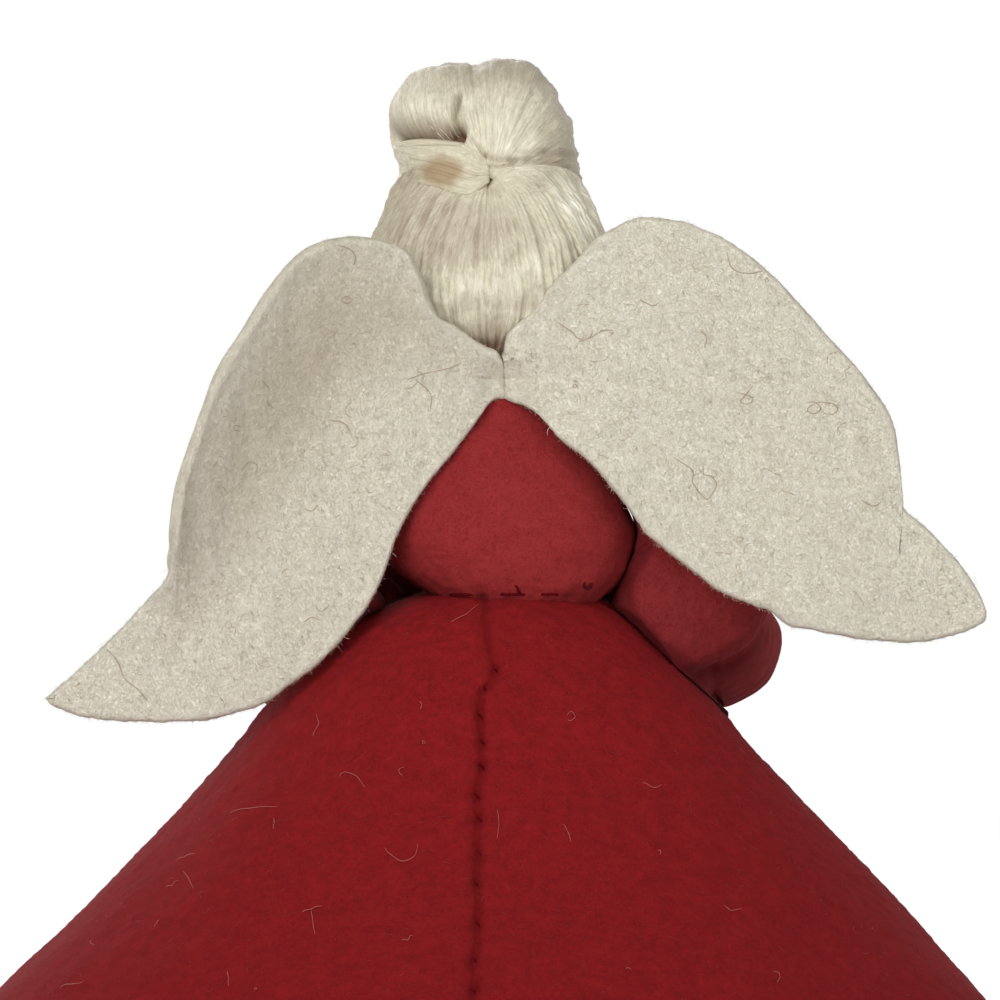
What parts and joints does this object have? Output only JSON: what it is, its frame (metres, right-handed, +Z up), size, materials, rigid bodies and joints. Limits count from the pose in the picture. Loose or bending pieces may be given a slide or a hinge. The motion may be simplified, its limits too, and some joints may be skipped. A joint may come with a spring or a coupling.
{
  "type": "felt angel figurine",
  "caption": "Felt angel with a stiff cone skirt, stuffed bodice, bell sleeves, floss hair gathered at the back and two thick felt wings that flex at their seam.",
  "frame": {"origin": "centre of the skirt's hem, on the surface that it stands on", "axes": "+Z up, -Y the way the face looks, so the wings are on the +Y side, and +X the angel's left"},
  "size_m": [0.1726, 0.1728, 0.1501],
  "materials": {
    "red_felt": "matt wool felt",
    "ivory_felt": "matt wool felt with stray fibres",
    "skin_felt": "smooth felt over a ball",
    "floss": "silky floss",
    "wadding": "loose wool wadding",
    "red_thread": "cotton thread",
    "ivory_thread": "cotton thread",
    "dark_thread": "cotton thread",
    "rosy_thread": "cotton thread",
    "card": "plain card",
    "beech": "bare turned wood",
    "wire": "soft craft wire"
  },
  "bodies": {
    "doll": {"skirt": "red_felt", "skirt_liner": "card", "skirt_seam_thread": "red_thread", "waist_thread": "red_thread", "waist_knot": "dark_thread", "bodice": "red_felt", "bodice_stuffing": "wadding", "neck_peg": "beech", "head": "skin_felt", "left_eye": "dark_thread", "right_eye": "dark_thread", "mouth": "rosy_thread", "hair_crown": "floss", "hair_lobe_left": "floss", "hair_lobe_right": "floss", "hair_band": "floss", "hair_nape": "floss", "wing_thread": "ivory_thread"},
    "left_arm": {"left_sleeve": "red_felt", "left_arm_wire": "wire", "left_hand": "skin_felt"},
    "right_arm": {"right_sleeve": "red_felt", "right_arm_wire": "wire", "right_hand": "skin_felt"},
    "left_wing_sheet": {"left_wing": "ivory_felt"},
    "right_wing_sheet": {"right_wing": "ivory_felt"}
  },
  "joints": [
    {"name": "left_wing_flex", "type": "hinge", "parent": "doll", "child": "left_wing_sheet", "pos_m": [-0.0011, 0.0118, 0.1056], "axis": [0, 0, 1], "range_deg": [-5, 30], "stiffness_Nm_per_rad": 0.002},
    {"name": "right_wing_flex", "type": "hinge", "parent": "doll", "child": "right_wing_sheet", "pos_m": [-0.0027, 0.0118, 0.1056], "axis": [0, 0, -1], "range_deg": [-5, 30], "stiffness_Nm_per_rad": 0.002},
    {"name": "left_arm_lift", "type": "hinge", "parent": "doll", "child": "left_arm", "pos_m": [0.0173, 0, 0.09697], "axis": [-1, 0, 0], "range_deg": [-5, 80]},
    {"name": "right_arm_lift", "type": "hinge", "parent": "doll", "child": "right_arm", "pos_m": [-0.019, 0, 0.09697], "axis": [-1, 0, 0], "range_deg": [-5, 80]}
  ]
}
